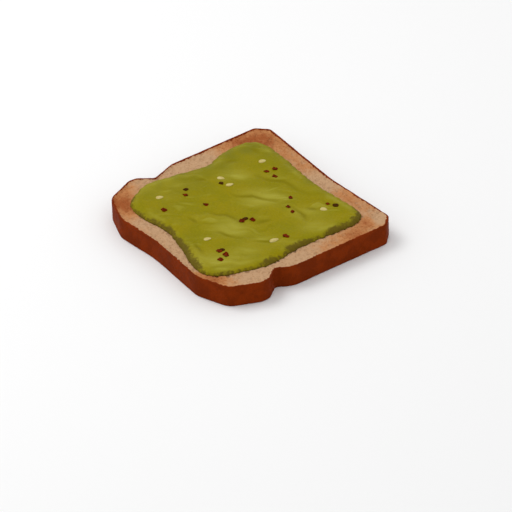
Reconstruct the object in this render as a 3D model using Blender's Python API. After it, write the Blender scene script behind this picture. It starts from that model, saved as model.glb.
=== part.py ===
"""Avocado toast: a toasted slice of white tin loaf with mashed avocado spread over its upper face.

The slice lies flat. Its origin is at the centre of its underside, +Z is up, -Y points to the
loaf's domed crown and +Y to its flat base. Sizes are in metres.
"""

import math

import bmesh
import bpy
import numpy as np
from mathutils import Matrix, Vector, noise

MM = 0.001

# The slice of bread
SLICE_WIDTH = 120 * MM  # across the domed crown, its widest place
SLICE_LENGTH = 113 * MM  # crown to base
SLICE_THICKNESS = 12.5 * MM
EDGE_ROUNDING = 1.0 * MM
CRUST_THICKNESS = 1.5 * MM
CRUMB_DROP = 0.5 * MM  # the crumb shrinks below the crust's rim as it toasts
ARC_CHORD = 1.3 * MM  # longest straight stretch in a rounded corner

# Places on the slice's outline, measured from its crown, its sides and its base
CREASE_FROM_CROWN = 37 * MM  # the creases between the dome and the straight sides
CREASE_DEPTH = 6.5 * MM
BULGE_ABOVE_CREASE = 13 * MM
CROWN_HALF_WIDTH = 34 * MM
SHOULDER_INSET = 7.4 * MM
SHOULDER_DROP = 7 * MM
SIDE_INSET = 1.4 * MM  # the sides stand this far inside the dome's bulge
BASE_CORNER = 6.3 * MM
CROWN_DIP = (-6.5 * MM, 2.6 * MM)  # where along the crown it dips, and how deep
BASE_DIP = (5 * MM, 3.0 * MM)
SIDE_WANDER = 3 * MM  # the two sides straighten out at unlike distances from the creases

# The spread
SPREAD_GAP = 0.3 * MM  # clearance that keeps the two solids apart
SPREAD_THICKNESS = 2.2 * MM
RIM_THICKNESS = 0.9 * MM
RIM_SLOPE = 4.5 * MM  # distance over which the rim climbs to full thickness
LIP_HEIGHT = 0.45 * MM  # the roll of avocado that the knife leaves inside the rim
LIP_INSET = 7 * MM
UNDULATION = 0.4 * MM
UNDULATION_LENGTH = 17 * MM
GRID_CELLS = 46
SWEEP_DEPTH = 0.75 * MM
SWEEP_HALF_WIDTH = 1.9 * MM
SWEEP_LIP = 0.5  # a sweep's raised side, as a share of its depth

# The spread's rim, seen from above and counter-clockwise from its corner by the left shoulder
SPREAD_RIM = [
    (-43.5, -43), (-31, -47.5), (-9, -44.5), (7, -47.5), (30, -53), (40.5, -47.5), (46.5, -32),
    (49.5, -19), (47, 1), (47.2, 20), (48, 37), (41.5, 46), (22, 45.5), (3, 43.8), (-37, 45.8),
    (-49.5, 38.5), (-49.5, 21), (-45.3, 9), (-49, -12), (-51, -27),
]  # fmt: skip

# The lines along which the knife swept, each from end to end
KNIFE_SWEEPS = [
    [(-34, 16), (-22, 18.5), (-8, 19.5), (2, 26), (14, 30)],
    [(-21, 6), (-13, 8), (-4, 15)],
    [(-19, -4), (-4, 3), (7, 8.5), (21, 15), (29, 17), (38, 12)],
    [(-12, -24), (-2, -22), (4, -16), (12, -13.5), (20, -12), (24, 1)],
    [(-7, -35), (2, -31), (13, -30.5), (32, -22), (37, -14)],
    [(9, -41), (23, -43)],
    [(21, 23), (31, 25), (39, 34)],
    [(-42, 36), (-34, 37)],
    [(-36, -7), (-33, 1)],
]

# Colours, linear
TOAST_BROWN = (0.45, 0.22, 0.10)
AVOCADO_GREEN = (0.27, 0.23, 0.012)


def clear_scene():
    """Removes what the startup scene holds."""
    for obj in list(bpy.data.objects):
        bpy.data.objects.remove(obj)


def new_collection(name):
    """A collection in the scene."""
    collection = bpy.data.collections.new(name)
    bpy.context.scene.collection.children.link(collection)
    return collection


def plain_material(name, color, roughness):
    """A Principled material of one colour."""
    material = bpy.data.materials.new(name)
    material.use_nodes = True
    shader = material.node_tree.nodes["Principled BSDF"]
    shader.inputs["Base Color"].default_value = (*color, 1)
    shader.inputs["Roughness"].default_value = roughness
    shader.inputs["Metallic"].default_value = 0.0
    return material


def half_corners(side):
    """The outline's corners on one side, +1 or -1, from crown to base, each with its radius."""
    edge = SLICE_WIDTH / 2
    crown, base = -SLICE_LENGTH / 2, SLICE_LENGTH / 2
    crease = crown + CREASE_FROM_CROWN
    straight = edge - SIDE_INSET
    places = [
        (CROWN_HALF_WIDTH, crown, 16 * MM),
        (edge - SHOULDER_INSET, crown + SHOULDER_DROP, 10 * MM),
        (edge, crease - BULGE_ABOVE_CREASE, 7 * MM),
        (edge - 0.4 * MM, crease - 8 * MM, 5 * MM),
        (edge - CREASE_DEPTH, crease, 2.5 * MM),
        (straight, crease + 11 * MM - side * SIDE_WANDER, 12 * MM),
        (straight, base - BASE_CORNER, 3.6 * MM),
        (straight - BASE_CORNER, base, 3.6 * MM),
    ]
    return [(Vector((side * x, y)), radius) for x, y, radius in places]


def slice_corners():
    """All the outline's corners, counter-clockwise from the dip in the crown."""
    crown_dip = (Vector((CROWN_DIP[0], -SLICE_LENGTH / 2 + CROWN_DIP[1])), 60 * MM)
    base_dip = (Vector((BASE_DIP[0], SLICE_LENGTH / 2 - BASE_DIP[1])), 120 * MM)
    return [crown_dip, *half_corners(1), base_dip, *reversed(half_corners(-1))]


def rounded_outline(corners):
    """The closed outline through corners that are each rounded by an arc."""
    outline = []
    for i, (corner, radius) in enumerate(corners):
        before = (corners[i - 1][0] - corner).normalized()
        after = (corners[(i + 1) % len(corners)][0] - corner).normalized()
        half_angle = before.angle(after) / 2
        centre = corner + (before + after).normalized() * radius / math.sin(half_angle)
        spoke = corner + before * radius / math.tan(half_angle) - centre
        turn = math.copysign(math.pi - 2 * half_angle, after.cross(before))
        steps = max(2, math.ceil(abs(turn) * radius / ARC_CHORD))
        for step in range(steps + 1):
            outline.append(centre + Matrix.Rotation(turn * step / steps, 2) @ spoke)
    return outline


def fitted(outline, width, length):
    """The outline drawn out to its exact width and length about the origin."""
    low = Vector((min(p.x for p in outline), min(p.y for p in outline)))
    high = Vector((max(p.x for p in outline), max(p.y for p in outline)))
    stretch = Vector((width / (high.x - low.x), length / (high.y - low.y)))
    return [(point - (low + high) / 2) * stretch for point in outline]


def slab(name, outline, bottom, top, rounding, inset=0.0):
    """A flat-faced solid with rounded rims, made from an outline drawn in by inset."""
    curve = bpy.data.curves.new(name, "CURVE")
    curve.dimensions = "2D"
    curve.fill_mode = "BOTH"
    spline = curve.splines.new("POLY")
    spline.points.add(len(outline) - 1)
    for point, place in zip(spline.points, outline):
        point.co = (place.x, place.y, 0, 1)
    spline.use_cyclic_u = True
    curve.extrude = (top - bottom) / 2 - rounding
    curve.bevel_depth = rounding
    curve.bevel_resolution = 1
    curve.offset = -rounding - inset
    obj = bpy.data.objects.new(name, curve)
    obj.location.z = (top + bottom) / 2
    return obj


def as_mesh(obj, collection):
    """The curve object made into a mesh object whose caps are welded to its sides."""
    bpy.context.scene.collection.objects.link(obj)
    bpy.context.view_layer.update()
    graph = bpy.context.evaluated_depsgraph_get()
    mesh = bpy.data.meshes.new_from_object(obj.evaluated_get(graph))
    solid = bmesh.new()
    solid.from_mesh(mesh)
    bmesh.ops.remove_doubles(solid, verts=solid.verts, dist=0.01 * MM)
    bmesh.ops.recalc_face_normals(solid, faces=solid.faces)
    solid.to_mesh(mesh)
    solid.free()
    made = bpy.data.objects.new(obj.name, mesh)
    made.matrix_world = obj.matrix_world
    bpy.data.objects.remove(obj)
    made.name = mesh.name = made.name.split(".")[0]
    collection.objects.link(made)
    return made


def make_bread(parts, cutters):
    """The slice: a slab with rounded rims, its crumb a little below its crust on the upper face."""
    outline = fitted(rounded_outline(slice_corners()), SLICE_WIDTH, SLICE_LENGTH)
    bread = as_mesh(slab("bread_slice", outline, 0, SLICE_THICKNESS, EDGE_ROUNDING), parts)
    floor = SLICE_THICKNESS - CRUMB_DROP
    above = SLICE_THICKNESS + 5 * MM
    dish = slab("crumb_cutter", outline, floor, above, 0.3 * MM, CRUST_THICKNESS)
    dish = as_mesh(dish, cutters)
    dish.hide_render = True
    dish.display_type = "WIRE"
    cut = bread.modifiers.new("crumb", "BOOLEAN")
    cut.operation = "DIFFERENCE"
    cut.object = dish
    bread.data.shade_smooth()
    bread.data.set_sharp_from_angle(angle=math.radians(35))
    bread.data.materials.append(plain_material("toast", TOAST_BROWN, 0.85))
    return bread


def smooth_line(points, per_span, closed=False):
    """Points along a Catmull-Rom curve through points given in millimetres, as an array."""
    knots = np.array(points, float) * MM
    if closed:
        knots = np.vstack([knots[-1:], knots, knots[:2]])
    else:
        knots = np.vstack([2 * knots[0] - knots[1], knots, 2 * knots[-1] - knots[-2]])
    t = np.linspace(0, 1, per_span, endpoint=False)[:, None]
    spans = []
    for a, b, c, d in zip(knots, knots[1:], knots[2:], knots[3:]):
        bend = 2 * b + (c - a) * t + (2 * a - 5 * b + 4 * c - d) * t**2
        spans.append((bend + (3 * b - a - 3 * c + d) * t**3) / 2)
    return np.vstack(spans if closed else [*spans, knots[-2:-1]])


def sweep_relief(place, sweep):
    """Height that one knife sweep adds at each place: a groove with a raised side to its left."""
    ahead = np.gradient(sweep, axis=0)
    ahead /= np.linalg.norm(ahead, axis=1, keepdims=True)
    offset = place[:, None] - sweep[None]
    nearest = np.linalg.norm(offset, axis=2).argmin(axis=1)
    away = offset[np.arange(len(place)), nearest]
    along = ahead[nearest]
    sideways = along[:, 0] * away[:, 1] - along[:, 1] * away[:, 0]
    past_the_end = (along * away).sum(axis=1)
    fade = np.exp(-((past_the_end / (3 * SWEEP_HALF_WIDTH)) ** 2))
    share = nearest / (len(sweep) - 1)
    taper = np.sqrt(np.sin(math.pi * np.clip(share, 0.02, 0.98)))
    groove = np.exp(-((sideways / SWEEP_HALF_WIDTH) ** 2))
    lip = np.exp(-((sideways / SWEEP_HALF_WIDTH - 2.2) ** 2) / 1.8)
    return SWEEP_DEPTH * fade * taper * (SWEEP_LIP * lip - groove)


def spread_height(place, rim_distance):
    """The spread's thickness at each place, given that place's distance to the rim."""
    climb = np.clip(rim_distance / RIM_SLOPE, 0, 1)
    climb = 1 - (1 - climb) ** 2
    body = RIM_THICKNESS + (SPREAD_THICKNESS - RIM_THICKNESS) * climb
    lip = LIP_HEIGHT * np.exp(-(((rim_distance - LIP_INSET) / (0.6 * LIP_INSET)) ** 2))
    waves = np.array([noise.noise((*p, 0)) for p in place / UNDULATION_LENGTH])
    relief = UNDULATION * waves
    for line in KNIFE_SWEEPS:
        relief += sweep_relief(place, smooth_line(line, 8))
    return body + climb * (lip + relief)


def make_spread(parts):
    """The avocado: a grid drawn out to the rim, raised by the knife's relief and closed below."""
    rim = smooth_line(SPREAD_RIM, 8, closed=True)
    bearing = np.unwrap(np.arctan2(rim[:, 1], rim[:, 0]))
    order = np.argsort(bearing % math.tau)
    reach = np.linalg.norm(rim, axis=1)[order]
    bearing = (bearing % math.tau)[order]
    solid = bmesh.new()
    bmesh.ops.create_grid(solid, x_segments=GRID_CELLS, y_segments=GRID_CELLS, size=1)
    square = np.array([vertex.co.xy for vertex in solid.verts])
    share = np.abs(square).max(axis=1)
    toward = np.arctan2(square[:, 1], square[:, 0]) % math.tau
    out = share * np.interp(toward, bearing, reach, period=math.tau)
    place = np.column_stack([out * np.cos(toward), out * np.sin(toward)])
    to_rim = np.linalg.norm(place[:, None] - rim[None], axis=2).min(axis=1)
    bottom = SLICE_THICKNESS - CRUMB_DROP + SPREAD_GAP
    for vertex, (x, y), height in zip(solid.verts, place, spread_height(place, to_rim)):
        vertex.co = (x, y, bottom + height)
    edges = [edge for edge in solid.edges if edge.is_boundary]
    skirt = bmesh.ops.extrude_edge_only(solid, edges=edges)["geom"]
    for vertex in (item for item in skirt if isinstance(item, bmesh.types.BMVert)):
        vertex.co.z = bottom
    below = [item for item in skirt if isinstance(item, bmesh.types.BMEdge)]
    bmesh.ops.contextual_create(solid, geom=below)
    bmesh.ops.recalc_face_normals(solid, faces=solid.faces)
    mesh = bpy.data.meshes.new("avocado_spread")
    solid.to_mesh(mesh)
    solid.free()
    mesh.shade_smooth()
    mesh.set_sharp_from_angle(angle=math.radians(60))
    mesh.materials.append(plain_material("avocado", AVOCADO_GREEN, 0.45))
    spread = bpy.data.objects.new("avocado_spread", mesh)
    parts.objects.link(spread)
    return spread


def main():
    clear_scene()
    parts = new_collection("avocado_toast")
    cutters = new_collection("cutters")
    make_bread(parts, cutters)
    make_spread(parts)


main()
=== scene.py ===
"""Avocado toast: the looks of a toasted slice of white tin loaf with mashed avocado.

The slice lies flat with its underside on z = 0. -Y points to the loaf's domed crown. Lengths are
in metres, and MM turns the millimetres that a baker would use into them.
"""

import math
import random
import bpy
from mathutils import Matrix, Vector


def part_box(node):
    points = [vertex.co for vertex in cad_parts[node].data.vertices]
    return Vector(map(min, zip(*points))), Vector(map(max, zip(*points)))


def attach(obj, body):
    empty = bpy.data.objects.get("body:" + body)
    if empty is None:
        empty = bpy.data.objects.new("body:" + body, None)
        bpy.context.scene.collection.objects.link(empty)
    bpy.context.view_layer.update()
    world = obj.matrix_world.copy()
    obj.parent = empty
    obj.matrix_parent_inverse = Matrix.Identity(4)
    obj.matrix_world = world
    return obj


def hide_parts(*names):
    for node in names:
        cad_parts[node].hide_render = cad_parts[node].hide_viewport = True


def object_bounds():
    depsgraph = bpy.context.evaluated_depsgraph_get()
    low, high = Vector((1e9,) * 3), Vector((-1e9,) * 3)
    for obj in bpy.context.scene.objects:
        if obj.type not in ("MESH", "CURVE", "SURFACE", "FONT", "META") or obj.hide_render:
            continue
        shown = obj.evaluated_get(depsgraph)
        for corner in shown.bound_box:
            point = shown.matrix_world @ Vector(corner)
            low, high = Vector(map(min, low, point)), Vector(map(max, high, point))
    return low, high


bl_info = {
    "name": "Avocado Toast",
    "version": (1, 0, 0),
    "blender": (4, 5, 0),
    "location": "View3D > Sidebar > Avocado Toast",
    "description": "Builds a slice of toast with mashed avocado, chilli, pepper and sesame",
    "category": "Add Mesh",
}

import bmesh
import bpy
import numpy as np
from bpy.props import (
    FloatProperty,
    FloatVectorProperty,
    IntProperty,
    PointerProperty,
)
from mathutils import Matrix, Vector, kdtree, noise

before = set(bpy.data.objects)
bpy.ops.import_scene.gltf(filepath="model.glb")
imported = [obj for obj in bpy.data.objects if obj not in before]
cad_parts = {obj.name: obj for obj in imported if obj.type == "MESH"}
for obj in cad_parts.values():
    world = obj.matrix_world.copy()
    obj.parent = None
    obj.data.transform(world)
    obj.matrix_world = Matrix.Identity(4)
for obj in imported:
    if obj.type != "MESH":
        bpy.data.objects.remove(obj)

MM = 0.001
CAD_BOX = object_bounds()
BREAD_LOW, BREAD_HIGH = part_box("bread_slice")
SPREAD_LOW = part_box("avocado_spread")[0]

CRUMB_DROP = 0.45 * MM  # how far the crumb lies below the crust's rim
OPEN_CRUMB = 19 * MM  # beyond this distance from the crust the avocado hides the crumb
SLICE_SPAN = 120 * MM
SEED_BREADTH = 3.2 * MM  # of a sesame seed
CLOSED_MIDDLE = 0.3  # every mask's value at the top's hidden middle
NOISE_SEED = 1  # without a seed noise_vector follows the clock

# The crumb's holes in two sizes: share of the pore size, share of the depth, share left open
PORE_KINDS = ((1.0, 1.0, 0.5), (0.45, 0.5, 0.75))

FLOOR_RADIUS = 4.0
FLOOR_GAP = 0.05 * MM  # keeps the floor from touching the underside
KEY_PLACE = (-0.55, -0.35, 1.0)
KEY_SIZE = 0.7
LENS = 500  # long, for a nearly parallel view
SENSOR_WIDTH = 36

# Patches of the cut face that the toaster browned: across, along, radius (mm), strength
BROWN_PATCHES = [
    (-45, -47, 10, 0.9), (-54, -37, 6, 0.3), (-33, -51, 6, 0.2), (-50, 47, 10, 0.85),
    (-54, 34, 9, 0.5), (-54, 24, 5, 0.2), (-38, 50, 8, 0.3), (-25, 49, 9, 0.45), (-12, 50, 7, 0.3),
    (22, 50, 8, 0.3), (33, 50, 8, 0.35), (49, 44, 5, 0.55), (54, 44, 4, 0.2), (54, 33, 9, 0.6),
    (54, 20, 8, 0.3), (54, 12, 5, 0.1), (42, -49, 7, 0.62), (34, -52, 6, 0.4), (50, -44, 5, 0.2),
]  # fmt: skip

# Patches that stayed pale
PALE_PATCHES = [
    (55, -9, 9, 0.3), (56, -30, 10, 0.35), (4, -50, 11, 0.2), (52, 52, 4, 0.5), (-54, 0, 14, 0.15),
    (5, 49, 8, 0.2), (-54, -22, 7, 0.15),
]  # fmt: skip

# The lines along which the knife swept through the avocado, in millimetres, each with the side
# that it left raised: 1 is the left of its way, -1 the right
KNIFE_SWEEPS = [
    (-1, [(-41, 16), (-36, 23)]),
    (1, [(-19, 2), (-11, 4), (-5, 9), (3, 14), (13, 18)]),
    (1, [(-24, 22), (-18, 23), (-12, 24.5), (-7, 29), (0, 31.5), (8, 33), (18, 36)]),
    (-1, [(-8, -20), (-4, -17), (0, -12), (9, -10.5), (17, -8)]),
    (1, [(-11, -29), (-2, -28)]),
    (1, [(7, -27.5), (11, -24.5), (18, -22), (24, -16)]),
    (1, [(14, -6), (17.5, 0), (19, 5)]),
    (-1, [(14, 18), (21, 20), (27, 20), (33, 16.5)]),
    (1, [(28, -17), (34, -9), (34, -1)]),
    (-1, [(20, 25), (27, 30)]),
    (1, [(-42, 36), (-34, 37)]),
    (1, [(-36, -7), (-33, 1)]),
    (-1, [(9, -41), (23, -43)]),
]

# Turns a place so that its first axis runs the way the knife mostly went
KNIFE_TURN = np.array([[0.7, -0.714], [0.714, 0.7]])

# Patches of paler flesh and painted highlight: across, along, radius (mm), strength
PALE_AVOCADO = [
    (-27, 14, 5, 0.9), (-2, 14, 6, 0.7), (4, 18, 4, 0.4), (1, 8, 5, 0.65), (10, -16, 6, 0.7),
    (15, -19, 5, 0.6), (39, 16, 4, 0.5), (33, -23.5, 5, 0.6), (28, -43, 6, 0.7), (-48, -32, 4, 0.6),
    (-43, -18, 5, 0.5), (-47, 40, 4, 0.5), (25, 23, 6, 0.5), (37, -32, 5, 0.5), (-35, -27, 4, 0.3),
    (38, 22, 5, 0.4), (30, -12, 5, 0.3), (38, -42, 4, 0.5), (43, 0, 4, 0.3),
]  # fmt: skip

# Stretches of the rim with the widest, darkest painted shade: across, along, radius (mm), strength
RIM_SHADE = [
    (-30, -46, 4, 0.5), (-18, -43, 5, 0.7), (-8, -43, 5, 0.8), (2, -46, 5, 0.8), (9, -46, 5, 1.1),
    (18, -49, 6, 0.9), (27, -49.5, 5, 1.1), (37, -44, 3, 0.4), (44, -44, 4, 0.6), (46.5, -19, 4.5, 1.1),
    (43.5, -4, 5, 1.1), (46.5, 5, 5, 1.1), (46, 25, 5, 0.9), (45.5, 29, 4, 0.9), (45, 38, 5, 1.1),
    (41.5, 46, 4, 0.8), (-44, -41, 5, 0.5),
]  # fmt: skip

# Painted shade, a darker, greener and duller tone, mostly along the avocado's far rims
FAR_RIM_SHADE = [
    (-46, -22, 5, 0.4), (-46, -8, 8, 0.8), (-43, 8, 8, 0.8), (-46, 24, 8, 0.8), (-45, 38, 8, 0.8),
    (-34, -8, 8, 0.5), (-34, 14, 8, 0.4), (-36, -20, 6, 0.4), (-42, 40, 4, 0.6), (-30, 43, 7, 0.7),
    (-14, 43, 7, 0.7), (2, 42, 6, 0.6), (16, 43, 5, 0.4), (-41, 33, 4, 0.5), (-22, -42, 5, 0.3),
    (6, -38, 6, 0.2), (-43, -31, 9, 0.4), (-24, -30, 9, 0.2),
]  # fmt: skip

# The toppings: across, along (mm), turn (degrees), length (mm)
SESAME_PLACES = [
    (-28, 33, 78, 4.4), (-29, 6, 36, 4.2), (-21, 6, 68, 4.3), (-35, -30, 72, 4.2),
    (12, -33, 62, 4.3), (35, -6, 84, 5.8), (28.5, 31.5, 30, 4.1),
]  # fmt: skip
CHILLI_PLACES = [
    (-18, 34, 20, 3.4), (-19, 29, 5, 3.0), (-12, 29.5, 18, 3.2), (-28, -18, 4, 3.2),
    (-24, -35, 10, 3.7), (-14, -15, 4, 2.9), (9, 24, 170, 2.8), (15, 18, 12, 2.8),
    (20, 17, 2, 2.5), (10, -9, 24, 3.3), (13, -4, 26, 3.4), (26, 36, 14, 2.4),
    (36, 1, 22, 3.9), (25, -35, 10, 3.5), (30, -34, 5, 3.6), (32, -39, 8, 3.5),
]  # fmt: skip
PEPPER_PLACES = [
    (-32, -15, 70, 2.8), (-25, 3, 50, 3.0), (10, -6.8, 76, 3.4), (30, 38, 75, 3.4), (25, -33, 45, 2.8),
]  # fmt: skip


# ---------------------------------------------------------------------------- settings


def length(name, description, default):
    """A length property, in metres."""
    return FloatProperty(name=name, description=description, default=default, unit="LENGTH", precision=5)


def color(name, description, default):
    """A linear colour property."""
    return FloatVectorProperty(
        name=name, description=description, default=default, subtype="COLOR", size=3, min=0, max=1
    )


class BreadSettings(bpy.types.PropertyGroup):
    crust_width: length("Crust Width", "Thickness of the crust on the cut face", 1.0 * MM)
    crumb_drop: length("Crumb Drop", "How far the crumb lies below the crust's rim", CRUMB_DROP)
    edge_radius: length("Edge Radius", "Rounding of the crust's cut edge", 0.6 * MM)
    pore_size: length("Pore Size", "Usual distance between the crumb's larger holes", 2.4 * MM)
    pore_depth: length("Pore Depth", "Depth of the crumb's larger holes", 0.85 * MM)
    wrinkle_depth: length("Wrinkle Depth", "Depth of the crust's wrinkles", 0.16 * MM)
    pale_color: color("Pale Crumb", "Crumb that the toaster barely coloured", (0.488, 0.3, 0.168))
    tan_color: color("Tan Crumb", "Crumb toasted to a light tan", (0.48, 0.212, 0.082))
    brown_color: color("Brown Crumb", "Crumb toasted brown", (0.31, 0.088, 0.026))
    crust_color: color("Crust", "The baked crust", (0.185, 0.023, 0.001))
    dark_crust_color: color("Dark Crust", "The crust where it baked longest", (0.125, 0.016, 0.0015))


class SpreadSettings(bpy.types.PropertyGroup):
    thickness: length("Thickness", "Usual height of the avocado above the crumb", 2.2 * MM)
    rim_thickness: length("Rim Thickness", "Height of the avocado just inside its rim", 1.0 * MM)
    rim_slope: length("Rim Slope", "Distance over which the rim climbs", 4.5 * MM)
    sweep_depth: length("Sweep Depth", "Depth of the knife's sweeps", 0.34 * MM)
    smear_depth: length("Smear Depth", "Depth of the fine smears between the sweeps", 0.16 * MM)
    lump_height: length("Lump Height", "Height of unmashed lumps", 0.22 * MM)
    flesh_color: color("Flesh", "The mashed flesh", (0.243, 0.199, 0.001))
    # Paler flesh, and painted highlight on ridges, lips and smear crests
    pale_color: color("Pale Flesh And Highlight", "Paler flesh and painted highlight on ridges", (0.325, 0.292, 0.03))
    # Painted shade in the knife grooves and smear troughs
    groove_shade_color: color("Groove Shade", "Painted shade in the knife grooves", (0.185, 0.155, 0.001))
    # Painted shade: a darker, greener tone along the far rims
    far_rim_shade_color: color("Far Rim Shade", "Painted shade, darker and greener, along the far rims", (0.18, 0.163, 0.008))
    # Painted shade on the rim's edge
    rim_color: color("Rim", "Painted shade on the spread's rim", (0.115, 0.083, 0.006))


class ToppingSettings(bpy.types.PropertyGroup):
    seed: IntProperty(name="Seed", description="Changes the toppings' small differences", default=4)
    chilli_color: color("Chilli", "Dried chilli flakes", (0.165, 0.017, 0.0004))
    pepper_color: color("Pepper", "Cracked black pepper", (0.035, 0.012, 0.001))
    sesame_color: color("Sesame", "Hulled sesame seeds", (0.52, 0.44, 0.16))


class StageSettings(bpy.types.PropertyGroup):
    azimuth: FloatProperty(
        name="Azimuth", description="Camera's bearing", default=math.radians(54.4), subtype="ANGLE"
    )
    elevation: FloatProperty(
        name="Elevation", description="Camera's height", default=math.radians(35.05), subtype="ANGLE"
    )
    roll: FloatProperty(
        name="Roll", description="Camera's roll", default=math.radians(-1.735), subtype="ANGLE"
    )
    frame_width: length("Frame Width", "Width of what the camera sees", 271.8 * MM)
    aside: length("Aside", "How far right of the toast's middle the camera aims", 6.3 * MM)
    below: length("Below", "How far below the toast's middle the camera aims", 24.85 * MM)
    key_power: FloatProperty(
        name="Key Light", description="Power of the soft key light", default=5, unit="POWER"
    )
    fill: FloatProperty(name="Fill", description="Strength of the surrounding light", default=0.86)
    floor_color: color("Floor", "The pale floor", (0.86, 0.86, 0.86))


# ---------------------------------------------------------------------------- shape helpers


def new_object(name, mesh, material):
    """A shaded object in the scene, riding on the toast's one body."""
    mesh.materials.append(material)
    mesh.shade_smooth()
    piece = bpy.data.objects.new(name, mesh)
    bpy.context.scene.collection.objects.link(piece)
    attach(piece, "root")
    return piece


def node_outline(node, height, reach):
    """The CAD node's outline where its vertices lie within reach of a height, by bearing."""
    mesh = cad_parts[node].data
    places = np.empty(len(mesh.vertices) * 3, np.float32)
    mesh.vertices.foreach_get("co", places)
    places = places.reshape(-1, 3)
    ring = places[np.abs(places[:, 2] - height) < reach][:, :2]
    ring = np.unique(np.round(ring, 6), axis=0)
    return ring[np.argsort(np.arctan2(ring[:, 1], ring[:, 0]))]


def evenly(outline, count):
    """The closed outline as count evenly spaced points."""
    closed = np.vstack([outline, outline[:1]])
    walked = np.concatenate([[0], np.cumsum(np.linalg.norm(np.diff(closed, axis=0), axis=1))])
    at = np.linspace(0, walked[-1], count, endpoint=False)
    return np.column_stack([np.interp(at, walked, closed[:, axis]) for axis in (0, 1)])


def outward(outline):
    """The outward direction at each point of a counter-clockwise outline."""
    ahead = np.roll(outline, -1, axis=0) - np.roll(outline, 1, axis=0)
    normal = np.column_stack([ahead[:, 1], -ahead[:, 0]])
    return normal / np.linalg.norm(normal, axis=1, keepdims=True)


def distance_to(places, line):
    """Each place's distance to the nearest point of a line."""
    tree = kdtree.KDTree(len(line))
    for i, (x, y) in enumerate(line):
        tree.insert((x, y, 0), i)
    tree.balance()
    return np.array([tree.find((x, y, 0))[2] for x, y in places])


def smooth_line(points, per_span):
    """Points along a Catmull-Rom curve through points given in millimetres, as an array."""
    knots = np.array(points, float) * MM
    knots = np.vstack([2 * knots[0] - knots[1], knots, 2 * knots[-1] - knots[-2]])
    t = np.linspace(0, 1, per_span, endpoint=False)[:, None]
    spans = []
    for a, b, c, d in zip(knots, knots[1:], knots[2:], knots[3:]):
        bend = 2 * b + (c - a) * t + (2 * a - 5 * b + 4 * c - d) * t**2
        spans.append((bend + (3 * b - a - 3 * c + d) * t**3) / 2)
    return np.vstack([*spans, knots[-2:-1]])


def soft_noise(places, size, seed=0.0):
    """Smooth noise from about -1 to 1 whose lumps are about size across, a new one for each seed."""
    return np.array([noise.noise(Vector(p) / size + Vector((seed, 0, 0))) for p in places])


def patches(places, spots, stretch=1.0):
    """The sum of soft patches given in millimetres, drawn out the way the knife went."""
    total = np.zeros(len(places))
    for x, y, radius, strength in spots:
        away = (places[:, :2] - np.array([x, y]) * MM) @ KNIFE_TURN / (stretch, 1)
        total += strength * np.exp(-((np.linalg.norm(away, axis=1) / (radius * MM)) ** 2))
    return total


def ramp(values, low, high):
    """Values eased from 0 at low to 1 at high."""
    t = np.clip((values - low) / (high - low), 0, 1)
    return t * t * (3 - 2 * t)


def store(mesh, name, values):
    """Keeps a value for each vertex, for the materials to read."""
    attribute = mesh.attributes.new(name, "FLOAT", "POINT")
    attribute.data.foreach_set("value", np.clip(values, 0, 1).astype(np.float32))


# ---------------------------------------------------------------------------- material helpers


def new_material(name, roughness, **sockets):
    """A Principled material, its tree and its shader."""
    material = bpy.data.materials.new(name)
    material.use_nodes = True
    tree = material.node_tree
    shader = tree.nodes["Principled BSDF"]
    shader.inputs["Roughness"].default_value = roughness
    for socket, value in sockets.items():
        shader.inputs[socket.replace("_", " ")].default_value = value
    return material, tree, shader


def node(tree, kind, inputs=(), **settings):
    """A node with its settings made and its inputs set or linked."""
    made = tree.nodes.new(kind)
    for key, value in settings.items():
        setattr(made, key, value)
    for key, value in dict(inputs).items():
        socket = made.inputs[key]
        if isinstance(value, bpy.types.NodeSocket):
            tree.links.new(value, socket)
        elif isinstance(value, (tuple, list)) and len(value) == 3 and socket.type == "RGBA":
            socket.default_value = (*value, 1)
        else:
            socket.default_value = value
    return made


def mix(tree, factor, a, b, blend="MIX"):
    """One colour mixed into another."""
    made = node(tree, "ShaderNodeMix", data_type="RGBA", blend_type=blend)
    for socket, value in ((made.inputs[0], factor), (made.inputs[6], a), (made.inputs[7], b)):
        if isinstance(value, bpy.types.NodeSocket):
            tree.links.new(value, socket)
        else:
            socket.default_value = (*value, 1) if socket.type == "RGBA" else value
    return made.outputs[2]


def math_node(tree, operation, a, b):
    """A value worked out from two others."""
    made = node(tree, "ShaderNodeMath", operation=operation)
    for socket, value in zip(made.inputs, (a, b)):
        if isinstance(value, bpy.types.NodeSocket):
            tree.links.new(value, socket)
        else:
            socket.default_value = value
    return made.outputs[0]


def eased(tree, value, low, high, to_low=0.0, to_high=1.0):
    """A value eased from one range to another."""
    made = node(
        tree,
        "ShaderNodeMapRange",
        {"Value": value, "From Min": low, "From Max": high, "To Min": to_low, "To Max": to_high},
        interpolation_type="SMOOTHSTEP",
    )
    return made.outputs["Result"]


def attribute(tree, name):
    """A value kept on the mesh."""
    return node(tree, "ShaderNodeAttribute", attribute_name=name).outputs["Fac"]


def place_of(tree):
    """The place on the object, in metres."""
    return node(tree, "ShaderNodeTexCoord").outputs["Object"]


def new_group(name, inputs, outputs):
    """A node group with named sockets, and its input and output nodes."""
    group = bpy.data.node_groups.new(name, "ShaderNodeTree")
    for label, kind, default in inputs:
        socket = group.interface.new_socket(label, in_out="INPUT", socket_type=kind)
        if default is not None:
            socket.default_value = default
    for label, kind in outputs:
        group.interface.new_socket(label, in_out="OUTPUT", socket_type=kind)
    return group, group.nodes.new("NodeGroupInput").outputs, group.nodes.new("NodeGroupOutput").inputs


def use_group(tree, group, **inputs):
    """The group placed in a material with its own values."""
    made = node(tree, "ShaderNodeGroup", node_tree=group)
    for key, value in inputs.items():
        socket = made.inputs[key.replace("_", " ")]
        if isinstance(value, bpy.types.NodeSocket):
            tree.links.new(value, socket)
        else:
            socket.default_value = (*value, 1) if socket.type == "RGBA" else value
    return made.outputs


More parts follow.
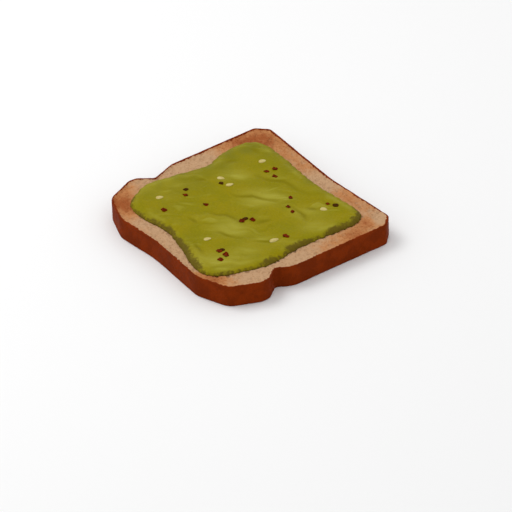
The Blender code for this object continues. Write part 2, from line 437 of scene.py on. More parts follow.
def mottle_group():
    """Soft patches of one colour over another, with a finer grain inside each patch."""
    name = "Mottle"
    if name in bpy.data.node_groups:
        return bpy.data.node_groups[name]
    group, given, result = new_group(
        name,
        [
            ("Place", "NodeSocketVector", None),
            ("Base", "NodeSocketColor", (0.5, 0.5, 0.5, 1)),
            ("Patch", "NodeSocketColor", (0.5, 0.5, 0.5, 1)),
            ("Patch Size", "NodeSocketFloat", 0.01),
            ("Grain Size", "NodeSocketFloat", 0.001),
            ("Grain Contrast", "NodeSocketFloat", 0.1),
        ],
        [("Color", "NodeSocketColor")],
    )
    wide = math_node(group, "DIVIDE", 1.0, given["Patch Size"])
    fine = math_node(group, "DIVIDE", 1.0, given["Grain Size"])
    soft = node(
        group,
        "ShaderNodeTexNoise",
        {"Vector": given["Place"], "Scale": wide, "Detail": 3.0, "Roughness": 0.55},
    ).outputs["Fac"]
    grain = node(
        group,
        "ShaderNodeTexNoise",
        {"Vector": given["Place"], "Scale": fine, "Detail": 2.0, "Roughness": 0.6},
    ).outputs["Fac"]
    patched = mix(group, eased(group, soft, 0.38, 0.62), given["Base"], given["Patch"])
    lift = math_node(group, "MULTIPLY", math_node(group, "SUBTRACT", grain, 0.5), given["Grain Contrast"])
    lit = node(group, "ShaderNodeHueSaturation", {"Color": patched})
    group.links.new(math_node(group, "ADD", lift, 1.0), lit.inputs["Value"])
    group.links.new(lit.outputs["Color"], result["Color"])
    return group


def grain_group():
    """A height made of two sizes of grain, for a Bump node."""
    name = "Grain"
    if name in bpy.data.node_groups:
        return bpy.data.node_groups[name]
    group, given, result = new_group(
        name,
        [
            ("Place", "NodeSocketVector", None),
            ("Coarse Size", "NodeSocketFloat", 0.001),
            ("Fine Size", "NodeSocketFloat", 0.0003),
        ],
        [("Height", "NodeSocketFloat")],
    )
    heights = []
    for size in ("Coarse Size", "Fine Size"):
        scale = math_node(group, "DIVIDE", 1.0, given[size])
        heights.append(
            node(
                group,
                "ShaderNodeTexNoise",
                {"Vector": given["Place"], "Scale": scale, "Detail": 2.0},
            ).outputs["Fac"]
        )
    fine = math_node(group, "MULTIPLY", heights[1], 0.5)
    group.links.new(math_node(group, "ADD", heights[0], fine), result["Height"])
    return group


def bump(tree, shader, height, strength, distance):
    """The shader's normal roughened by a height."""
    made = node(
        tree, "ShaderNodeBump", {"Height": height, "Strength": strength, "Distance": distance}
    )
    tree.links.new(made.outputs["Normal"], shader.inputs["Normal"])


# ---------------------------------------------------------------------------- bread


def bread_material(settings):
    """Toasted crumb inside a dark baked crust, as the mesh's masks say."""
    material, tree, shader = new_material("Toasted Bread", roughness=0.85, Specular_IOR_Level=0.03)
    place = place_of(tree)
    crust = attribute(tree, "crust")
    browning = attribute(tree, "browning")
    hollow = attribute(tree, "hollow")
    dark = attribute(tree, "baked_dark")
    streaks = node(
        tree,
        "ShaderNodeTexNoise",
        {"Vector": place, "Scale": 1 / (2.2 * MM), "Detail": 4.0, "Roughness": 0.65},
    ).outputs["Fac"]
    crumb = use_group(
        tree,
        mottle_group(),
        Place=place,
        Base=(0.46, 0.46, 0.46),
        Patch=(0.6, 0.6, 0.6),
        Patch_Size=8 * MM,
        Grain_Size=0.9 * MM,
        Grain_Contrast=0.34,
    )
    mottled = math_node(tree, "ADD", browning, math_node(tree, "SUBTRACT", crumb["Color"], 0.53))
    mottled = math_node(tree, "ADD", mottled, eased(tree, streaks, 0.3, 0.7, -0.1, 0.1))
    mottled = math_node(tree, "SUBTRACT", mottled, math_node(tree, "MULTIPLY", hollow, 0.14))
    tanned = mix(
        tree, eased(tree, mottled, 0.05, 0.65), tuple(settings.pale_color), tuple(settings.tan_color)
    )
    pitted = mix(tree, eased(tree, mottled, 0.5, 1.05), tanned, tuple(settings.brown_color))
    shell = use_group(
        tree,
        mottle_group(),
        Place=place,
        Base=tuple(settings.crust_color),
        Patch=tuple(c * 0.78 for c in settings.crust_color),
        Patch_Size=7 * MM,
        Grain_Size=0.7 * MM,
        Grain_Contrast=0.5,
    )
    baked = mix(tree, dark, shell["Color"], tuple(settings.dark_crust_color))
    edge = math_node(tree, "ADD", crust, eased(tree, streaks, 0.3, 0.7, -0.25, 0.25))
    shell_mask = eased(tree, edge, 0.3, 0.7)
    bubbles = node(tree, "ShaderNodeTexVoronoi", {"Vector": place, "Scale": 1 / (1.25 * MM)})
    pinholes = eased(tree, bubbles.outputs["Distance"], 0.2, 0.48, 1.0, 0.0)
    pinholes = math_node(tree, "MULTIPLY", pinholes, eased(tree, streaks, 0.36, 0.56))
    pinholes = math_node(tree, "MULTIPLY", pinholes, eased(tree, shell_mask, 0, 0.6, 1.0, 0.0))
    # Painted shade: the crumb's pinholes are darkened as if shadowed
    pinhole_shade = math_node(tree, "MULTIPLY", pinholes, 0.5)
    pitted = mix(tree, pinhole_shade, pitted, (0.7, 0.56, 0.44), blend="MULTIPLY")
    tree.links.new(mix(tree, shell_mask, pitted, baked), shader.inputs["Base Color"])
    tree.links.new(eased(tree, shell_mask, 0, 1, 0.9, 0.62), shader.inputs["Roughness"])
    grain = use_group(tree, grain_group(), Place=place, Coarse_Size=0.7 * MM, Fine_Size=0.25 * MM)
    pierced = math_node(tree, "SUBTRACT", grain["Height"], pinholes)
    bump(tree, shader, pierced, strength=0.35, distance=0.25 * MM)
    return material


def crumb_pits(places, size, depth):
    """How far the crumb's holes sink each place, and how deep into a hole it lies, 0 to 1."""
    sunk = np.zeros(len(places))
    noise.seed_set(NOISE_SEED)
    for step, (cell, deep, open_share) in enumerate(PORE_KINDS):
        for i, place in enumerate(places):
            warped = Vector(place) / (size * cell)
            warped += 0.25 * noise.noise_vector(warped * 1.7)
            near, seeds = noise.voronoi(warped)
            if noise.cell(seeds[0] * 7.3 + Vector((step, 0.5, 0.5))) > 2 * open_share - 1:
                continue
            wall = min(1.0, max(0.0, (near[1] - near[0]) / 0.55))
            sunk[i] = max(sunk[i], deep * wall * wall * (3 - 2 * wall))
    return sunk * depth, sunk


def bread_profile(depth, thickness, settings):
    """Height of the cut face, from its distance to the crust's outside."""
    radius = settings.edge_radius
    round_over = np.sqrt(np.clip(radius**2 - (radius - np.minimum(depth, radius)) ** 2, 0, None))
    rim = thickness - radius + round_over
    return rim - settings.crumb_drop * ramp(depth, 0.8 * settings.crust_width, 2.2 * settings.crust_width)


class AVOCADOTOAST_OT_bread(bpy.types.Operator):
    """Builds the toasted slice with its crumb, pores and crust."""

    bl_idname = "avocado_toast.bread"
    bl_label = "Toasted Slice"

    cells = 196  # along each side of the underside's square grid
    columns = 4 * cells  # around the slice
    edge_insets = (0.0, 0.0012, 0.0035, 0.007, 0.0115, 0.017, 0.0225)  # shares of the way inwards
    rim_rings = 34
    hidden_rings = 7
    wall_rings = 18

    def execute(self, context):
        settings = context.scene.toast_bread
        thickness = BREAD_HIGH.z - BREAD_LOW.z
        outline = node_outline("bread_slice", thickness - 1.0 * MM, 0.05 * MM)
        outline = evenly(outline, self.columns)
        open_rim = np.linspace(0.0295, 0.285, self.rim_rings)
        hidden = np.linspace(0.33, 0.93, self.hidden_rings)
        wall = np.linspace(1, 0, self.wall_rings + 2)[1:-1]
        rings = [("top", inset) for inset in [*self.edge_insets, *open_rim, *hidden][::-1]]
        rings += [("wall", height) for height in wall]
        rings += [("under", inset) for inset in self.edge_insets]
        flat = np.vstack([outline if kind == "wall" else outline * (1 - value) for kind, value in rings])
        inner, numbers, inner_columns = self.under_grid(flat[-self.columns :], len(flat))
        flat = np.vstack([flat, inner])
        kinds = np.array([*np.repeat([kind for kind, _ in rings], self.columns), *["under"] * len(inner)])
        value = np.append(np.repeat([value for _, value in rings], self.columns), np.zeros(len(inner)))
        column_of = np.append(np.tile(np.arange(self.columns), len(rings)), inner_columns)
        depth = np.where(kinds == "wall", 0.0, distance_to(flat, evenly(outline, 6 * self.columns)))
        depth[depth < 0.03 * MM] = 0.0
        height = bread_profile(depth, thickness, settings)
        radius = settings.edge_radius
        wall_height = radius + (thickness - 2 * radius) * value
        z = np.where(kinds == "top", height, np.where(kinds == "under", thickness - height, wall_height))
        places = np.column_stack([flat, z])
        masks = self.shape_and_masks(places, kinds, depth, outline, column_of, thickness, settings)
        mesh = self.join(places, len(rings), numbers)
        for name, values in masks.items():
            store(mesh, name, np.append(values, CLOSED_MIDDLE))
        piece = new_object("toasted_slice", mesh, bread_material(settings))
        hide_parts("bread_slice")
        return {"FINISHED"}

    def under_grid(self, ring, first):
        """A square grid drawn out to the underside's inmost ring.

        It gives the grid's inner places, which are numbered from first, the vertex number of every
        grid point, and the column of the slice that each inner place lies in.
        """
        n = self.cells
        row, column = np.meshgrid(np.arange(n + 1), np.arange(n + 1), indexing="ij")
        across, along = 2 * row / n - 1, 2 * column / n - 1
        out = np.maximum(np.abs(across), np.abs(along))
        spread = np.where(out > 0, out, 1)
        u, v = (across / spread + 1) * n / 2, (along / spread + 1) * n / 2
        walked = np.select([v <= 0, u >= n, v >= n], [u, n + v, 3 * n - u], 4 * n - v)
        corner = np.abs(np.arctan2(ring[:, 1], ring[:, 0]) + 0.75 * math.pi).argmin()
        walked = (walked + corner) % self.columns
        closed = np.vstack([ring, ring[:1]])
        reach = [np.interp(walked, np.arange(self.columns + 1), closed[:, axis]) for axis in (0, 1)]
        nearest = np.round(walked).astype(int) % self.columns
        inner = out < 1
        numbers = first - self.columns + nearest
        numbers[inner] = first + np.arange(inner.sum())
        return (np.stack(reach, axis=-1) * out[..., None])[inner], numbers, nearest[inner]

    def shape_and_masks(self, places, kinds, depth, outline, column_of, thickness, settings):
        """Sinks the crumb's pores, wrinkles the crust, and works out the masks for the colours."""
        crumbness = ramp(depth, 0.9 * settings.crust_width, 2.0 * settings.crust_width)
        crumbness[kinds == "wall"] = 0
        is_crumb = np.flatnonzero((crumbness > 0) & ((depth < OPEN_CRUMB) | (kinds == "under")))
        sunk = np.zeros(len(places))
        hollow = np.zeros(len(places))
        depth_of, share_of = crumb_pits(places[is_crumb], settings.pore_size, settings.pore_depth)
        sunk[is_crumb], hollow[is_crumb] = depth_of, share_of
        rough = soft_noise(places, 1.3 * MM, 5) * 0.10 * MM + soft_noise(places, 6 * MM, 9) * 0.12 * MM
        crumb_shift = crumbness * (rough - sunk)
        crumb_shift = np.where(kinds == "under", np.maximum(-crumb_shift, -0.05 * MM), crumb_shift)
        around = np.where(kinds == "wall", 1.0, np.exp(-depth / (0.8 * MM)))
        waves = soft_noise(places * (1, 1, 0.5), 9 * MM, 3) * 0.16 * MM
        creases = 1 - np.abs(soft_noise(places * (1, 1, 1.6), 2.6 * MM, 13))
        wrinkles = -settings.wrinkle_depth * creases**6
        pocks = -0.12 * MM * ramp(soft_noise(places, 0.9 * MM, 21), 0.25, 0.6)
        push = around * (waves + wrinkles + pocks + 0.1 * MM)
        places[:, :2] += outward(outline)[column_of] * push[:, None]
        places[:, 2] += crumb_shift
        feet = np.column_stack([outline[column_of], np.zeros(len(places))])
        # The tin baked a thicker, evener crust at the base and the left than at the crown and the right
        toward_crown = np.clip(2 * (places[:, 0] - places[:, 1]) / SLICE_SPAN, -1, 1)
        edge_wobble = (0.65 + 0.35 * toward_crown) * MM * soft_noise(feet, 1.1 * MM, 31)
        edge_wobble += 0.2 * MM * soft_noise(places, 1.7 * MM, 33) + 0.25 * MM * soft_noise(feet, 6 * MM, 37)
        edge_wobble += 0.36 * MM * toward_crown
        reach = depth + np.minimum(edge_wobble, 0.45 * MM)
        crust = 1 - ramp(reach, 0.6 * settings.crust_width, 1.5 * settings.crust_width)
        crust[kinds == "wall"] = 1
        browning = 0.17 + patches(places, BROWN_PATCHES) - patches(places, PALE_PATCHES)
        browning += 0.12 * soft_noise(places, 14 * MM, 2) + 0.3 * np.exp(-depth / (1.2 * MM))
        from_middle = np.abs(places[:, 2] / thickness - 0.5) * 2
        dark = 0.7 * ramp(from_middle, 0.8, 1.0) * (kinds == "wall")
        dark += 0.35 * ramp(soft_noise(places, 12 * MM, 41), 0.0, 0.5)
        return {"crust": crust, "browning": browning, "hollow": hollow, "baked_dark": dark}

    def join(self, places, ring_count, numbers):
        """The rings joined by quads, closed by a fan at the top's middle and the grid underneath."""
        columns = self.columns
        here = np.arange(columns)
        beside = (here + 1) % columns
        quads = []
        for inner in range(0, (ring_count - 1) * columns, columns):
            outer = inner + columns
            quads.append(np.column_stack([inner + here, outer + here, outer + beside, inner + beside]))
        corners = [numbers[:-1, :-1], numbers[:-1, 1:], numbers[1:, 1:], numbers[1:, :-1]]
        grid = np.stack(corners, axis=-1)
        turned = np.roll(grid, 1, axis=-1)
        # Quads in two of the quarters start one corner on, so that all split towards the middle
        half = self.cells // 2
        grid[:half, half:] = turned[:half, half:]
        grid[half:, :half] = turned[half:, :half]
        quads.append(grid.reshape(-1, 4))
        fan = np.column_stack([np.full(columns, len(places)), here, beside])
        middle = places[:columns].mean(axis=0)
        mesh = bpy.data.meshes.new("toasted_slice")
        mesh.from_pydata([*places.tolist(), middle.tolist()], [], np.vstack(quads).tolist() + fan.tolist())
        return mesh


# ---------------------------------------------------------------------------- avocado


def sweep_relief(places, sweep, side, half_width=1.9 * MM, lip_width=5 * MM):
    """One knife sweep's groove, and the broad lip of avocado that it left on one side."""
    ahead = np.gradient(sweep, axis=0)
    ahead /= np.linalg.norm(ahead, axis=1, keepdims=True)
    nearest = np.linalg.norm(places[:, None] - sweep[None], axis=2).argmin(axis=1)
    away = places - sweep[nearest]
    along = ahead[nearest]
    sideways = side * (along[:, 0] * away[:, 1] - along[:, 1] * away[:, 0])
    past_the_end = (along * away).sum(axis=1)
    fade = np.exp(-((past_the_end / (2.5 * half_width)) ** 2))
    taper = np.sin(math.pi * np.clip(nearest / (len(sweep) - 1), 0.03, 0.97)) ** 0.6
    groove = np.exp(-((sideways / half_width) ** 2))
    over = np.clip((sideways + 0.4 * half_width) / lip_width, 0, None)
    lip = 2.6 * over * np.exp(-((over * 1.15) ** 1.7))
    return fade * taper * groove, fade * taper * lip


def avocado_height(places, rim_distance, settings):
    """The spread's height above the crumb, its grooves and its raised lips."""
    flat = np.column_stack([places, np.zeros(len(places))])
    climb = np.clip(rim_distance / settings.rim_slope, 0, 1)
    climb = 1 - (1 - climb) ** 2
    body = settings.rim_thickness + (settings.thickness - settings.rim_thickness) * climb
    lip = 0.45 * MM * np.exp(-(((rim_distance - 6 * MM) / (3.2 * MM)) ** 2))
    lip *= 0.6 + 0.6 * soft_noise(flat, 9 * MM, 47)
    waves = 0.4 * MM * soft_noise(flat, 17 * MM)
    grooves, lips = np.zeros(len(places)), np.zeros(len(places))
    bend = np.column_stack([soft_noise(flat, 10 * MM, s) for s in (51, 57)]) * 1.6 * MM
    for side, line in KNIFE_SWEEPS:
        groove, raised = sweep_relief(places + bend, smooth_line(line, 10), side)
        grooves = np.maximum(grooves, groove)
        lips += raised
    # Fine smears run the way the knife went, bent by the same slow wander
    turned = (places + 3 * bend) @ KNIFE_TURN
    smear = np.column_stack([turned[:, 0] / 13, turned[:, 1] / 3.2, np.zeros(len(places))])
    fine = np.column_stack([turned[:, 0] / 5, turned[:, 1] / 1.1, np.ones(len(places))])
    smears = 1.3 * soft_noise(smear, MM, 61) + 0.5 * soft_noise(fine, MM, 67)
    smears *= 0.35 + 0.9 * ramp(soft_noise(flat, 15 * MM, 69), -0.1, 0.45)
    lumps = ramp(soft_noise(flat, 2.6 * MM, 71), 0.22, 0.6) * ramp(soft_noise(flat, 11 * MM, 73), -0.1, 0.4)
    relief = settings.sweep_depth * (0.8 * lips - grooves)
    relief += settings.smear_depth * smears + settings.lump_height * lumps
    return body + climb * (lip + waves + relief), grooves * climb, lips * climb, smears * climb


def avocado_material(settings):
    """Moist mashed flesh: paler flesh and painted highlight on its ridges, painted shade in its grooves,
    along its far rims and on its rim.
    """
    material, tree, shader = new_material("Mashed Avocado", roughness=0.5, Specular_IOR_Level=0.04)
    place = place_of(tree)
    flesh = use_group(
        tree,
        mottle_group(),
        Place=place,
        Base=tuple(settings.flesh_color),
        Patch=tuple(c * f for c, f in zip(settings.flesh_color, (0.9, 0.95, 1.0))),
        Patch_Size=14 * MM,
        Grain_Size=1.1 * MM,
        Grain_Contrast=0.36,
    )
    # Painted shade: a darker, greener tone along the far rims
    far_rim_shaded = mix(tree, attribute(tree, "green"), flesh["Color"], tuple(settings.far_rim_shade_color))
    # Paler flesh, and painted highlight on ridges, lips and smear crests
    ridged = mix(tree, attribute(tree, "pale_and_highlight"), far_rim_shaded, tuple(settings.pale_color))
    # Painted shade in the knife grooves and smear troughs
    grooved = mix(tree, attribute(tree, "groove"), ridged, tuple(settings.groove_shade_color))
    fuzz = node(
        tree,
        "ShaderNodeTexNoise",
        {"Vector": place, "Scale": 1 / (1.6 * MM), "Detail": 3.0, "Roughness": 0.6},
    ).outputs["Fac"]
    # Painted shade on the rim, with a fuzzy edge
    edge = math_node(tree, "ADD", attribute(tree, "rim"), eased(tree, fuzz, 0.3, 0.7, -0.22, 0.22))
    rim_shaded = mix(tree, eased(tree, edge, 0.25, 0.95), grooved, tuple(settings.rim_color))
    tree.links.new(rim_shaded, shader.inputs["Base Color"])
    tree.links.new(eased(tree, fuzz, 0.3, 0.7, 0.42, 0.6), shader.inputs["Roughness"])
    grain = use_group(tree, grain_group(), Place=place, Coarse_Size=1.1 * MM, Fine_Size=0.4 * MM)
    bump(tree, shader, grain["Height"], strength=0.42, distance=0.35 * MM)
    return material


class AvocadoSurface:
    """The spread's outline and height, which the toppings lie on too."""

    rim_points = 1800
    rounding = 1.5 * MM  # of the rim's upper edge

    def __init__(self, settings):
        self.settings = settings
        self.crumb = BREAD_HIGH.z - CRUMB_DROP
        outline = evenly(node_outline("avocado_spread", SPREAD_LOW.z, 0.02 * MM), self.rim_points)
        flat = np.column_stack([outline, np.zeros(len(outline))])
        wobble = 0.55 * MM * soft_noise(flat, 2.6 * MM, 81) + 0.4 * MM * soft_noise(flat, 6 * MM, 83)
        self.rim = outline + outward(outline) * (wobble - 0.2 * MM)[:, None]
        bearing = np.arctan2(self.rim[:, 1], self.rim[:, 0]) % math.tau
        order = np.argsort(bearing)
        self.bearing, self.reach = bearing[order], np.linalg.norm(self.rim, axis=1)[order]

    def place(self, square):
        """Points of the square from -1 to 1 drawn out to the rim."""
        toward = np.arctan2(square[:, 1], square[:, 0]) % math.tau
        out = np.abs(square).max(axis=1)
        out = 1 - (1 - out) ** 1.12
        out = out * np.interp(toward, self.bearing, self.reach, period=math.tau)
        return np.column_stack([out * np.cos(toward), out * np.sin(toward)])

    def top(self, places):
        """The surface's height, its grooves, lips and smears, and each place's distance to the rim."""
        to_rim = distance_to(places, self.rim)
        height, grooves, lips, smears = avocado_height(places, to_rim, self.settings)
        round_over = np.sqrt(1 - (1 - np.clip(to_rim / self.rounding, 0, 1)) ** 2)
        sunk = 0.25 * MM
        top = self.crumb - sunk + (height + sunk) * (0.25 + 0.75 * round_over)
        return top, grooves, lips, smears, to_rim


class AVOCADOTOAST_OT_spread(bpy.types.Operator):
    """Builds the mashed avocado with its knife sweeps, smears and lumps."""

    bl_idname = "avocado_toast.spread"
    bl_label = "Mashed Avocado"

    cells = 232  # along each side of its square grid
    skirt_share = 0.992  # how far in the sides reach at the bottom
    skirt_depth = 0.6 * MM  # how far the sides reach below the crumb

    def execute(self, context):
        settings = context.scene.toast_spread
        surface = AvocadoSurface(settings)
        solid = bmesh.new()
        bmesh.ops.create_grid(solid, x_segments=self.cells, y_segments=self.cells, size=1)
        places = surface.place(np.array([vertex.co.xy for vertex in solid.verts]))
        top, grooves, lips, smears, to_rim = surface.top(places)
        for vertex, (x, y), z in zip(solid.verts, places, top):
            vertex.co = (x, y, z)
        edges = [edge for edge in solid.edges if edge.is_boundary]
        skirt = bmesh.ops.extrude_edge_only(solid, edges=edges)["geom"]
        for vertex in (item for item in skirt if isinstance(item, bmesh.types.BMVert)):
            vertex.co = (*(vertex.co.xy * self.skirt_share), surface.crumb - self.skirt_depth)
        below = [item for item in skirt if isinstance(item, bmesh.types.BMEdge)]
        bmesh.ops.contextual_create(solid, geom=below)
        bmesh.ops.recalc_face_normals(solid, faces=solid.faces)
        mesh = bpy.data.meshes.new("mashed_avocado")
        solid.to_mesh(mesh)
        solid.free()
        extra = len(mesh.vertices) - len(places)
        flat = np.column_stack([places, np.zeros(len(places))])
        # Painted highlight: a pale band along the lip just inside the rim
        rim_lip_highlight = np.exp(-(((to_rim - 4.0 * MM) / (1.5 * MM)) ** 2))
        rim_lip_highlight *= ramp(soft_noise(flat, 9 * MM, 95), -0.3, 0.4)
        pale = patches(places, PALE_AVOCADO, 1.7) * (0.75 + 0.5 * ramp(smears, -0.3, 0.4))
        # Paler flesh in patches, and painted highlight on the knife's lips, the rim's lip and smear crests
        pale_and_highlight = 0.2 * ramp(lips, 0.1, 1.1) + 0.85 * pale + 0.45 * rim_lip_highlight + 0.45 * ramp(smears, 0.15, 0.9)
        # Painted shade in the knife grooves and smear troughs
        groove = 0.95 * grooves**2.2 + 0.4 * ramp(-smears, 0.15, 0.9)
        # Painted shade: a darker, greener tone along the far rims, where the painted highlight is taken out
        green = patches(places, FAR_RIM_SHADE) * (0.85 + 0.5 * soft_noise(flat, 5 * MM, 99))
        pale_and_highlight *= 1 - 0.8 * np.clip(green, 0, 1)
        # Painted shade along the rim, widest and darkest in the listed patches on the near edges
        tatter = soft_noise(flat, 2.2 * MM, 97)
        rim_shade_spots = np.clip(patches(places, RIM_SHADE), 0, 1)
        band = (1.5 + 0.8 * soft_noise(flat, 5 * MM, 91)) * MM + 3.8 * MM * rim_shade_spots
        rim = 1 - ramp(to_rim + 1.0 * MM * tatter, 0.15 * band, 1.25 * band)
        rim *= 0.62 + 0.38 * rim_shade_spots
        for name, values in (("pale_and_highlight", pale_and_highlight), ("groove", groove), ("green", green), ("rim", rim)):
            store(mesh, name, np.append(values, np.full(extra, 1.0 if name == "rim" else 0.0)))
        piece = new_object("mashed_avocado", mesh, avocado_material(settings))
        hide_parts("avocado_spread")
        return {"FINISHED"}


# ---------------------------------------------------------------------------- toppings


def topping_material(name, base, patch, roughness, patch_size, contrast, **sockets):
    """A dry topping: two colours in patches with a fine grain."""
    material, tree, shader = new_material(name, roughness, **sockets)
    place = place_of(tree)
    tone = use_group(
        tree,
        mottle_group(),
        Place=place,
        Base=base,
        Patch=patch,
        Patch_Size=patch_size,
        Grain_Size=patch_size / 5,
        Grain_Contrast=contrast,
    )
    tree.links.new(tone["Color"], shader.inputs["Base Color"])
    grain = use_group(
        tree, grain_group(), Place=place, Coarse_Size=patch_size / 3, Fine_Size=patch_size / 9
    )
    bump(tree, shader, grain["Height"], strength=0.4, distance=0.12 * MM)
    return material


def ball(subdivisions):
    """A ball of triangles, to be shaped into a small solid."""
    solid = bmesh.new()
    bmesh.ops.create_icosphere(solid, subdivisions=subdivisions, radius=1)
    return solid


def chilli_flake(size, rng):
    """A torn, curled scrap of dried chilli skin."""
    solid = ball(3)
    seed = Vector((rng.uniform(0, 90), 0, 0))
    bend, twist = rng.uniform(0.15, 0.4), rng.uniform(-0.3, 0.3)
    for vertex in solid.verts:
        x, y, z = vertex.co
        bearing = math.atan2(y, x)
        squarish = (abs(math.cos(bearing)) ** 3 + abs(math.sin(bearing)) ** 3) ** (-1 / 3)
        around = Vector((math.cos(bearing), math.sin(bearing), 0))
        torn = 1 + 0.4 * noise.noise(around * 1.5 + seed) + 0.16 * noise.noise(around * 4 - seed)
        x, y = x * squarish * torn * 0.95, y * squarish * torn * 0.74
        ripple = 0.07 * noise.noise(Vector((x, y, 0)) * 3 + seed)
        z = z * 0.16 + bend * (y * y - 0.1) + twist * x * y + ripple
        vertex.co = Vector((x, y, z)) * size / 2
    return solid


def pepper_chip(size, rng):
    """An angular chip of a cracked peppercorn with a wrinkled outside."""
    solid = ball(4)
    seed = Vector((rng.uniform(0, 90), 0, 0))
    cracks = []
    for _ in range(7):
        facing = Vector((rng.gauss(0, 1), rng.gauss(0, 1), rng.gauss(0, 1))).normalized()
        cracks.append((facing, rng.uniform(0.5, 0.8)))
    for vertex in solid.verts:
        place = vertex.co.copy()
        for facing, reach in cracks:
            beyond = place.dot(facing) - reach
            if beyond > 0:
                place -= facing * beyond
        place *= 1.15 + 0.12 * noise.noise(place * 4 + seed)
        vertex.co = Vector((place.x, place.y * 0.8, place.z * 0.45)) * size / 2
    return solid


def sesame_seed(size, rng):
    """A flat teardrop with a pointed end and a soft rim."""
    solid = ball(3)
    broad = SEED_BREADTH / size
    seed = Vector((rng.uniform(0, 90), 0, 0))
    for vertex in solid.verts:
        x, y, z = vertex.co
        narrow = 1 - 0.42 * (0.5 + 0.5 * x) ** 1.6
        swell = 1 + 0.05 * noise.noise(Vector((x, y, z)) * 1.5 + seed)
        dimple = 0.05 * math.exp(-((y / 0.25) ** 2)) * (z > 0)
        vertex.co = Vector((x * swell, y * broad * narrow * swell, z * 0.3 * narrow - dimple)) * size / 2
    return solid


def scatter(context, name, make, places, material, sunk):
    """One piece that joins a topping's bits, each pressed sunk millimetres into the avocado."""
    rng = random.Random(f"{name} {context.scene.toast_toppings.seed}")
    surface = AvocadoSurface(context.scene.toast_spread)
    probes = np.array([(0, 0), (1, 0), (-1, 0), (0, 1), (0, -1)]) * 0.8 * MM
    joined = bmesh.new()
    mesh = bpy.data.meshes.new(name)
    for x, y, turn, size in places:
        around = np.array([x, y]) * MM + probes
        top = surface.top(around)[0]
        normal = Vector((top[2] - top[1], top[4] - top[3], 1.6 * MM)).normalized()
        lean = Vector((0, 0, 1)).rotation_difference(normal).to_matrix()
        tip = Matrix.Rotation(rng.uniform(-0.12, 0.12), 3, "Y")
        tip @= Matrix.Rotation(rng.uniform(-0.1, 0.1), 3, "X")
        spin = Matrix.Rotation(math.radians(turn), 3, "Z")
        move = (lean @ spin @ tip).to_4x4()
        move.translation = Vector((*around[0], top.mean() - sunk * MM))
        bit = make(size * MM, rng)
        bmesh.ops.transform(bit, matrix=move, verts=bit.verts)
        bit.to_mesh(mesh)
        bit.free()
        joined.from_mesh(mesh)
    joined.to_mesh(mesh)
    joined.free()
    piece = new_object(name, mesh, material)
    return piece


class AVOCADOTOAST_OT_chilli(bpy.types.Operator):
    """Scatters dried chilli flakes over the avocado."""

    bl_idname = "avocado_toast.chilli"
    bl_label = "Chilli Flakes"

    def execute(self, context):
        base = tuple(context.scene.toast_toppings.chilli_color)
        dark = tuple(c * 0.45 for c in base)
        material = topping_material(
            "Dried Chilli",
            base,
            dark,
            roughness=0.6,
            patch_size=1.2 * MM,
            contrast=0.5,
            Specular_IOR_Level=0.02,
        )
        scatter(context, "chilli_flakes", chilli_flake, CHILLI_PLACES, material, sunk=-0.12)
        return {"FINISHED"}


class AVOCADOTOAST_OT_pepper(bpy.types.Operator):
    """Scatters chips of cracked black pepper over the avocado."""

    bl_idname = "avocado_toast.pepper"
    bl_label = "Cracked Pepper"

    def execute(self, context):
        base = tuple(context.scene.toast_toppings.pepper_color)
        pale = tuple(c * 2.2 for c in base)
        material = topping_material(
            "Black Pepper",
            base,
            pale,
            roughness=0.7,
            patch_size=0.7 * MM,
            contrast=0.5,
            Specular_IOR_Level=0.03,
        )
        piece = scatter(
            context, "pepper_chips", pepper_chip, PEPPER_PLACES, material, sunk=0.05
        )
        piece.data.set_sharp_from_angle(angle=math.radians(32))
        return {"FINISHED"}


class AVOCADOTOAST_OT_sesame(bpy.types.Operator):
    """Scatters sesame seeds over the avocado."""

    bl_idname = "avocado_toast.sesame"
    bl_label = "Sesame Seeds"

    def execute(self, context):
        base = tuple(context.scene.toast_toppings.sesame_color)
        tan = tuple(c * f for c, f in zip(base, (0.92, 0.82, 0.7)))
        material = topping_material(
            "Sesame",
            base,
            tan,
            roughness=0.5,
            patch_size=1.5 * MM,
            contrast=0.15,
            Specular_IOR_Level=0.15,
        )
        scatter(context, "sesame_seeds", sesame_seed, SESAME_PLACES, material, sunk=0.0)
        return {"FINISHED"}


# ---------------------------------------------------------------------------- stage


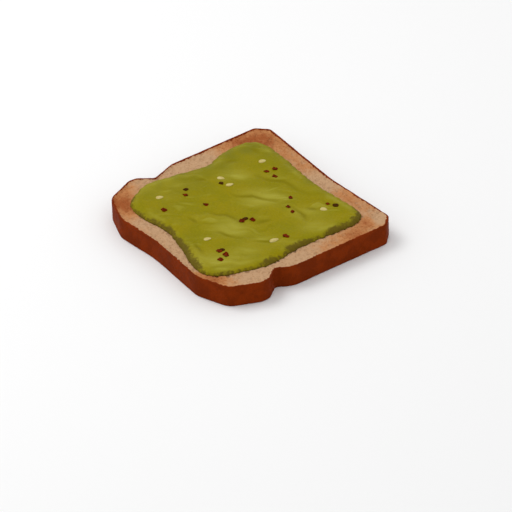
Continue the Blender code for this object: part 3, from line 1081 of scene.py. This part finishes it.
class AVOCADOTOAST_OT_stage(bpy.types.Operator):
    """Builds the pale floor, the soft light and the camera."""

    bl_idname = "avocado_toast.stage"
    bl_label = "Stage"

    def execute(self, context):
        settings = context.scene.toast_stage
        self.lay_floor(context, settings)
        self.add_light(context, settings)
        self.add_camera(context, settings)
        context.scene.view_settings.view_transform = "Standard"
        return {"FINISHED"}

    def lay_floor(self, context, settings):
        solid = bmesh.new()
        bmesh.ops.create_circle(solid, cap_ends=True, segments=96, radius=FLOOR_RADIUS)
        mesh = bpy.data.meshes.new("floor")
        solid.to_mesh(mesh)
        solid.free()
        material, _, shader = new_material("Pale Floor", roughness=0.9)
        shader.inputs["Base Color"].default_value = (*settings.floor_color, 1)
        mesh.materials.append(material)
        floor = bpy.data.objects.new("floor", mesh)
        floor.location.z = CAD_BOX[0][2] - FLOOR_GAP
        context.scene.collection.objects.link(floor)

    def add_light(self, context, settings):
        world = bpy.data.worlds.new("Soft Surroundings")
        world.use_nodes = True
        background = world.node_tree.nodes["Background"]
        background.inputs["Color"].default_value = (1, 1, 1, 1)
        background.inputs["Strength"].default_value = settings.fill
        context.scene.world = world
        light = bpy.data.lights.new("key_light", "AREA")
        light.shape = "DISK"
        light.size = KEY_SIZE
        light.energy = settings.key_power
        key = bpy.data.objects.new("key_light", light)
        key.location = KEY_PLACE
        key.rotation_euler = (-Vector(key.location)).to_track_quat("-Z", "Y").to_euler()
        context.scene.collection.objects.link(key)

    def add_camera(self, context, settings):
        camera = bpy.data.cameras.new("camera")
        camera.lens = LENS
        camera.sensor_width = SENSOR_WIDTH
        away = settings.frame_width * camera.lens / camera.sensor_width
        camera.clip_end = 3 * away
        turn = Matrix.Rotation(settings.azimuth, 3, "Z")
        turn @= Matrix.Rotation(math.radians(90) - settings.elevation, 3, "X")
        turn @= Matrix.Rotation(settings.roll, 3, "Z")
        middle = Vector((0, 0, BREAD_HIGH.z))
        aim = middle + turn @ Vector((settings.aside, -settings.below, 0))
        stand = bpy.data.objects.new("camera", camera)
        stand.matrix_world = Matrix.Translation(aim + turn @ Vector((0, 0, away))) @ turn.to_4x4()
        context.scene.collection.objects.link(stand)
        context.scene.camera = stand


# ---------------------------------------------------------------------------- add-on


class AVOCADOTOAST_PT_panel(bpy.types.Panel):
    """Lists the toast's settings and steps."""

    bl_idname = "AVOCADOTOAST_PT_panel"
    bl_label = "Avocado Toast"
    bl_space_type = "VIEW_3D"
    bl_region_type = "UI"
    bl_category = "Avocado Toast"

    def draw(self, context):
        for group, operators in STEPS.items():
            box = self.layout.box()
            settings = getattr(context.scene, group)
            for key in settings.bl_rna.properties.keys():
                if key not in ("rna_type", "name"):
                    box.prop(settings, key)
            for operator in operators:
                box.operator(operator.bl_idname)


GROUPS = {
    "toast_bread": BreadSettings,
    "toast_spread": SpreadSettings,
    "toast_toppings": ToppingSettings,
    "toast_stage": StageSettings,
}
STEPS = {
    "toast_bread": [AVOCADOTOAST_OT_bread],
    "toast_spread": [AVOCADOTOAST_OT_spread],
    "toast_toppings": [AVOCADOTOAST_OT_chilli, AVOCADOTOAST_OT_pepper, AVOCADOTOAST_OT_sesame],
    "toast_stage": [AVOCADOTOAST_OT_stage],
}
OPERATORS = [operator for operators in STEPS.values() for operator in operators]


def register():
    for cls in (*GROUPS.values(), *OPERATORS, AVOCADOTOAST_PT_panel):
        bpy.utils.register_class(cls)
    for name, cls in GROUPS.items():
        setattr(bpy.types.Scene, name, PointerProperty(type=cls))


def unregister():
    for name in GROUPS:
        delattr(bpy.types.Scene, name)
    for cls in (AVOCADOTOAST_PT_panel, *reversed(OPERATORS), *reversed(GROUPS.values())):
        bpy.utils.unregister_class(cls)


def main():
    register()
    bpy.ops.avocado_toast.bread()
    bpy.ops.avocado_toast.spread()
    bpy.ops.avocado_toast.chilli()
    bpy.ops.avocado_toast.pepper()
    bpy.ops.avocado_toast.sesame()
    bpy.ops.avocado_toast.stage()


if __name__ == "__main__":
    main()
